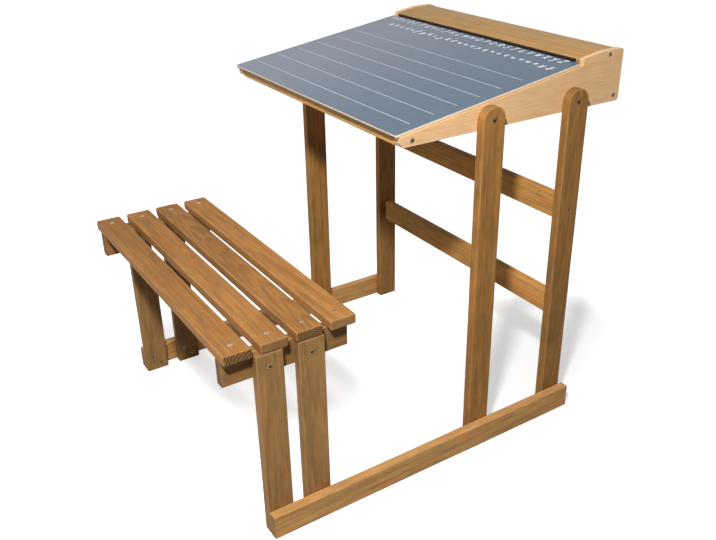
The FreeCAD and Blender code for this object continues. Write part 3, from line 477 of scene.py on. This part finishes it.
# plain joined-up alphabet: each stroke is points x y, a repeated point is a corner, ; starts the next stroke
capitals = (
    "0 0,.45 1.2,.7 2,.7 2,.72 1.2,.8 0;.2 .8,.76 .8",
    ".1 0,.2 1,.25 2;.05 1.85,.5 2,.85 1.65,.6 1.15,.3 1.05,.75 .95,.85 .45,.5 0,.1 .05",
    ".85 1.6,.6 2,.2 1.5,.1 .7,.35 0,.8 .3",
    ".2 2,.15 1,.1 0;0 .05,.5 0,.9 .7,.8 1.6,.4 2,0 1.9",
    ".8 1.75,.5 2,.25 1.6,.5 1.1,.65 1.05,.5 1.05,.1 .6,.3 0,.75 .25",
    "0 1.8,.3 2,.95 1.95;.5 1.95,.42 1,.3 .1,0 .1;.2 1,.75 1",
    ".85 1.6,.6 2,.2 1.5,.1 .7,.35 0,.7 .3,.8 .9;.45 .9,.85 .9,.8 .1,.5 0",
    ".15 2,.1 0;.8 2,.75 0;.1 1,.8 1",
    ".1 1.8,.4 2,.5 1.9,.4 .9,.25 0,0 .15",
    ".2 1.8,.6 2,.7 1.9,.55 .6,.4 -.4,.1 -.3",
    ".15 2,.1 0;.85 2,.2 1,.5 .9,.9 0",
    ".6 1.7,.5 2,.3 1.5,.2 .5,.1 .05,.4 0,.85 .25",
    "0 0,.2 1.9,.2 1.9,.45 .5,.45 .5,.8 1.9,.8 1.9,.95 0",
    "0 0,.15 1.9,.15 1.9,.75 .1,.75 .1,.9 2",
    ".5 2,.15 1.5,.1 .6,.45 0,.85 .5,.85 1.4,.5 2",
    ".15 0,.25 2;0 1.8,.5 2,.9 1.6,.65 1.05,.25 .95",
    ".5 2,.15 1.5,.1 .6,.45 0,.85 .5,.85 1.4,.5 2;.5 .4,.95 -.1",
    ".15 0,.25 2;0 1.8,.5 2,.9 1.6,.65 1.05,.25 .95;.45 1,.9 0",
    ".85 1.65,.55 2,.25 1.55,.7 .9,.7 .3,.35 0,0 .3",
    ".05 1.75,.3 2,.95 1.95;.55 1.95,.4 .8,.3 0,.05 .15",
    ".1 1.9,.2 2,.15 .7,.4 0,.75 .5,.85 2;.85 2,.8 .5,.95 0",
    ".05 1.9,.2 2,.35 0,.35 0,.8 1.7,.95 2",
    "0 1.9,.12 2,.25 0,.25 0,.5 1.6,.5 1.6,.65 0,.65 0,1 2",
    ".05 1.85,.25 2,.7 .1,.95 .1;.9 2,.05 0",
    ".1 2,.2 1.1,.55 1,.8 1.5;.85 2,.7 .6,.5 -.4,.15 -.3",
    ".1 1.8,.4 2,.9 1.95,.05 .05,.5 .1,.9 0")
smallLetters = (
    ".8 .9,.4 1,.1 .45,.35 0,.75 .5,.8 1,.8 1,.75 .1,1 .15",
    "0 .2,.3 1.2,.35 2,.15 1.6,.1 .2,.45 0,.7 .5,.55 .9,.9 .85",
    ".8 .8,.45 1,.1 .45,.4 0,.9 .25",
    ".75 .9,.4 1,.1 .45,.35 0,.75 .5,.85 2,.85 2,.75 .1,1 .15",
    ".05 .35,.6 .6,.5 1,.15 .5,.4 0,.9 .25",
    "0 .2,.45 1.3,.45 2,.25 1.6,.2 0,.1 -1,.35 -.6,.25 .1,.8 .3",
    ".75 .9,.4 1,.1 .45,.35 0,.75 .6,.8 1,.8 1,.65 -.8,.35 -1.1,.2 -.7,.95 .2",
    "0 .2,.35 1.4,.35 2,.15 1.5,.1 0,.1 0,.45 1,.7 .8,.65 .1,.95 .15",
    ".2 .6,.4 1,.4 1,.3 .15,.7 .2;.48 1.5,.5 1.56",
    ".2 .6,.5 1,.5 1,.35 -.8,.1 -1.1,0 -.7,.7 .2;.55 1.5,.57 1.56",
    "0 .2,.35 1.4,.35 2,.15 1.5,.1 0,.1 0,.5 1,.65 .8,.2 .5,.6 .1,.95 .15",
    "0 .2,.45 1.4,.45 2,.2 1.5,.2 .2,.45 0,.8 .3",
    "0 .6,.15 1,.15 1,.1 0,.1 0,.35 1,.45 .8,.42 0,.42 0,.7 1,.8 .8,.75 .1,1 .2",
    "0 .6,.2 1,.2 1,.15 0,.15 0,.5 1,.65 .8,.6 .1,.95 .2",
    ".5 1,.1 .6,.25 .05,.6 .15,.7 .7,.45 1,.6 .8,.95 .85",
    ".1 .6,.3 1.2,.3 1.2,.15 -1.1,.15 -1.1,.25 .6,.55 1,.7 .6,.65 .1,.95 .2",
    ".75 .9,.4 1,.1 .45,.35 0,.75 .6,.8 1,.8 1,.65 -1.1",
    "0 .3,.25 1.1,.3 .9,.6 .9,.5 .2,.85 .15",
    "0 .1,.4 1.1,.4 1.1,.6 .3,.35 0,.1 .15",
    "0 .2,.4 1.7,.4 1.7,.3 .2,.5 0,.8 .2;.15 1.1,.65 1.1",
    "0 .6,.15 1,.15 1,.1 .2,.4 0,.65 .5,.7 1,.7 1,.65 .1,.95 .2",
    "0 .8,.2 1,.3 0,.3 0,.6 .6,.55 1,.9 .9",
    "0 .7,.1 1,.15 .1,.3 0,.45 .5,.5 1,.5 1,.5 .1,.7 0,.85 .6,.8 1,1 .9",
    ".05 .8,.3 1,.5 .1,.9 .2;.75 1,.05 0",
    "0 .7,.15 1,.15 .3,.4 0,.7 .6,.75 1,.75 1,.6 -.8,.3 -1.1,.15 -.7,.95 .2",
    ".1 .9,.4 1,.7 .95,.2 .1,.5 -.1,.55 -.7,.25 -1.1,.15 -.7,.95 .2")
lettering = dict(
    width=0.0023, slant=0.30, lift=0.00008, points=28, color=tint(226, 232, 240), curveSteps=10,
    across=(1, 0.6, -0.6, -1), crown=0.8, edgeHeight=0.25, narrowest=0.03, rows={
        "capitalRow": dict(letters=capitals, left=-0.253, pitch=0.0192, base=0.350, unit=(0.0115, 0.0064)),
        "smallRow": dict(letters=smallLetters, left=-0.216, pitch=0.0181, base=0.321, unit=(0.0095, 0.0055))})
smallest = 1e-9


def walkedLength(path):
    # length of the path from its start to each point
    return np.concatenate([[0], np.cumsum(np.linalg.norm(np.diff(path, axis=0), axis=1))])


def strokePath(stroke, unit):
    # cubic curve through the points between two corners, then spaced evenly along its length
    points = np.array([pair.split() for pair in stroke.split(",")], dtype=float)
    points[:, 0] += points[:, 1] * lettering["slant"] * unit[1] / unit[0]
    corners = np.nonzero((points[1:] == points[:-1]).all(1))[0] + 1
    step = np.linspace(0, 1, lettering["curveSteps"])[:, None, None]
    runs = []
    for run in np.split(points, corners):
        ends = np.vstack([2 * run[:1] - run[1:2], run, 2 * run[-1:] - run[-2:-1]])
        a, b, c, d = ends[:-3], ends[1:-2], ends[2:-1], ends[3:]
        curve = b + 0.5 * step * (c - a + step * (2 * a - 5 * b + 4 * c - d + step * (3 * b - a - 3 * c + d)))
        runs.append(curve.transpose(1, 0, 2).reshape(-1, 2))
    path = np.vstack(runs) * unit
    length = walkedLength(path)
    even = np.linspace(0, length[-1], lettering["points"])
    return np.stack([np.interp(even, length, path[:, 0]), np.interp(even, length, path[:, 1])], -1)


def inkRibbon(path):
    # band carried along the path, as wide as the pen, round at both ends and highest in the middle
    heading = np.gradient(path, axis=0)
    heading /= np.maximum(np.linalg.norm(heading, axis=1, keepdims=True), smallest)
    sideways = np.stack([-heading[:, 1], heading[:, 0]], -1)
    walked = walkedLength(path)
    half = lettering["width"] / 2
    tip = np.clip(np.minimum(walked, walked[-1] - walked) / half, lettering["narrowest"], 1)
    reach = half * (1 - (1 - tip) ** 2) ** 0.5
    across = np.array(lettering["across"])
    flat = path[:, None] + sideways[:, None] * (reach[:, None] * across)[:, :, None]
    height = np.where(abs(across) < lettering["crown"], 1.0, lettering["edgeHeight"]) * lettering["lift"]
    return np.concatenate([flat, np.broadcast_to(height[:, None], flat.shape[:2] + (1,))], -1)


def printLetters(material):
    for name, row in lettering["rows"].items():
        ribbons = []
        for number, letter in enumerate(row["letters"]):
            shift = (row["left"] + number * row["pitch"], row["base"], 0)
            ribbons += [inkRibbon(strokePath(stroke, row["unit"])) + shift for stroke in letter.split(";")]
        ink = np.stack(ribbons)
        gridMesh(name, onLid(ink[..., 0], ink[..., 1], ink[..., 2]), material)


printLines(printMaterial("printedLine", ruling["color"]))
printLetters(printMaterial("printedLetter", lettering["color"]))
print("lid printed:", len(ruling["rows"]), "lines and", len(lettering["rows"]), "rows of letters")


# studio: shades are soft bands of floor where the shadow shows, as start, end, inner and outer radius, glow
studio = dict(world=0.03, bounce=0.24, floorColor=0.62, floorHalf=9, shades=(
    ((0.25, 0.15), (0.06, 0.50), 0.09, 0.20, 0.53),
    ((-0.33, -0.27), (-0.06, -0.09), 0.08, 0.17, 0.66)))
lamps = {
    "keyLight": dict(place=(1.05, -0.85, 1.58), aim=(0.0, 0.0, 0.35), size=0.13, watts=36),
    "topLight": dict(place=(-0.6, -0.4, 2.2), aim=(0.0, -0.05, 0.4), size=1.6, watts=8.5),
    "frontLight": dict(place=(-1.2, -2.2, 1.5), aim=(0.0, -0.05, 0.4), size=1.2, watts=14),
    "backLight": dict(place=(0.2, 2.3, 0.5), aim=(0.0, 0.0, 0.40), size=0.8, watts=12),
}


def seenDirectly(tree):
    # 1 for the camera and for mirror-like or clear surfaces, 0 for diffuse light
    rays = tree.nodes.new("ShaderNodeLightPath")
    camera, glossy, clear = (Field(tree, rays.outputs[name]) for name in
                             ("Is Camera Ray", "Is Glossy Ray", "Is Transmission Ray"))
    return camera.most(glossy).most(clear)


def floorGlow(place):
    # 1 on the open floor, less within each band: distance to the band's middle line, eased
    x, y = place.axes()[:2]
    level = None
    for start, end, inner, outer, low in studio["shades"]:
        alongX, alongY = end[0] - start[0], end[1] - start[1]
        offX, offY = x - start[0], y - start[1]
        spot = ((offX * alongX + offY * alongY) / (alongX ** 2 + alongY ** 2)).limit()
        away = ((offX - spot * alongX) ** 2 + (offY - spot * alongY) ** 2) ** 0.5
        shade = away.ease(inner, outer) * (1 - low) + low
        level = shade if level is None else level.least(shade)
    return level


def makeFloor():
    # plain floor, white to the camera and grey to diffuse light
    half = studio["floorHalf"]
    mesh = bpy.data.meshes.new("floor")
    mesh.from_pydata([(-half, -half, 0), (half, -half, 0), (half, half, 0), (-half, half, 0)], [], [(0, 1, 2, 3)])
    floor = bpy.data.objects.new("floor", mesh)
    bpy.context.collection.objects.link(floor)
    material = bpy.data.materials.new("floor")
    material.use_nodes = True
    tree = material.node_tree
    tree.nodes.clear()
    seen = seenDirectly(tree)
    bounce, shadowed = (seen.node("ShaderNodeBsdfDiffuse", sockets={"Color": (studio[grey],) * 3 + (1,)})
                        for grey in ("bounce", "floorColor"))
    place = Field(tree, tree.nodes.new("ShaderNodeTexCoord").outputs["Object"])
    glow = seen.node("ShaderNodeEmission", sockets={"Color": floorGlow(place)})
    white = seen.node("ShaderNodeAddShader", sockets={0: shadowed, 1: glow})
    surface = seen.node("ShaderNodeMixShader", sockets={0: seen, 1: bounce, 2: white})
    output = tree.nodes.new("ShaderNodeOutputMaterial")
    connect(output, "Surface", surface)
    mesh.materials.append(material)


def makeWorld():
    # white to the camera, weak to diffuse light
    world = bpy.data.worlds.new("studio")
    world.use_nodes = True
    tree = world.node_tree
    background = tree.nodes["Background"]
    connect(background, "Strength", seenDirectly(tree) * (1.0 - studio["world"]) + studio["world"])
    background.inputs["Color"].default_value = (1, 1, 1, 1)
    bpy.context.scene.world = world


def aimed(place, aim):
    # placing of a lamp or camera that looks from place to aim
    turn = (Vector(aim) - Vector(place)).to_track_quat("-Z", "Y").to_matrix().to_4x4()
    return Matrix.Translation(place) @ turn


def makeLamps():
    for name, lamp in lamps.items():
        data = bpy.data.lights.new(name, "AREA")
        data.shape = "SQUARE"
        data.size = lamp["size"]
        data.energy = lamp["watts"]
        holder = bpy.data.objects.new(name, data)
        holder.matrix_world = aimed(lamp["place"], lamp["aim"])
        bpy.context.collection.objects.link(holder)


makeFloor()
makeWorld()
makeLamps()
print("studio lit:", len(lamps), "lamps")

# camera at the photograph's viewing angle
cameraPlace = dict(place=(1.1980, -0.7307, 0.9658), aim=(-0.0031, 0.0753, 0.2310), roll=-0.29, lens=41.82,
                   shift=(-0.0338, -0.0008), sensor=36.0, clipEnd=60)


def makeCamera():
    data = bpy.data.cameras.new("camera")
    data.sensor_width = cameraPlace["sensor"]
    data.lens = cameraPlace["lens"]
    data.shift_x, data.shift_y = cameraPlace["shift"]
    data.clip_end = cameraPlace["clipEnd"]
    holder = bpy.data.objects.new("camera", data)
    roll = Matrix.Rotation(math.radians(cameraPlace["roll"]), 4, "Z")
    holder.matrix_world = aimed(cameraPlace["place"], cameraPlace["aim"]) @ roll
    bpy.context.collection.objects.link(holder)
    bpy.context.scene.camera = holder


makeCamera()
print("camera placed")
bpy.context.scene.view_settings.view_transform = "Standard"
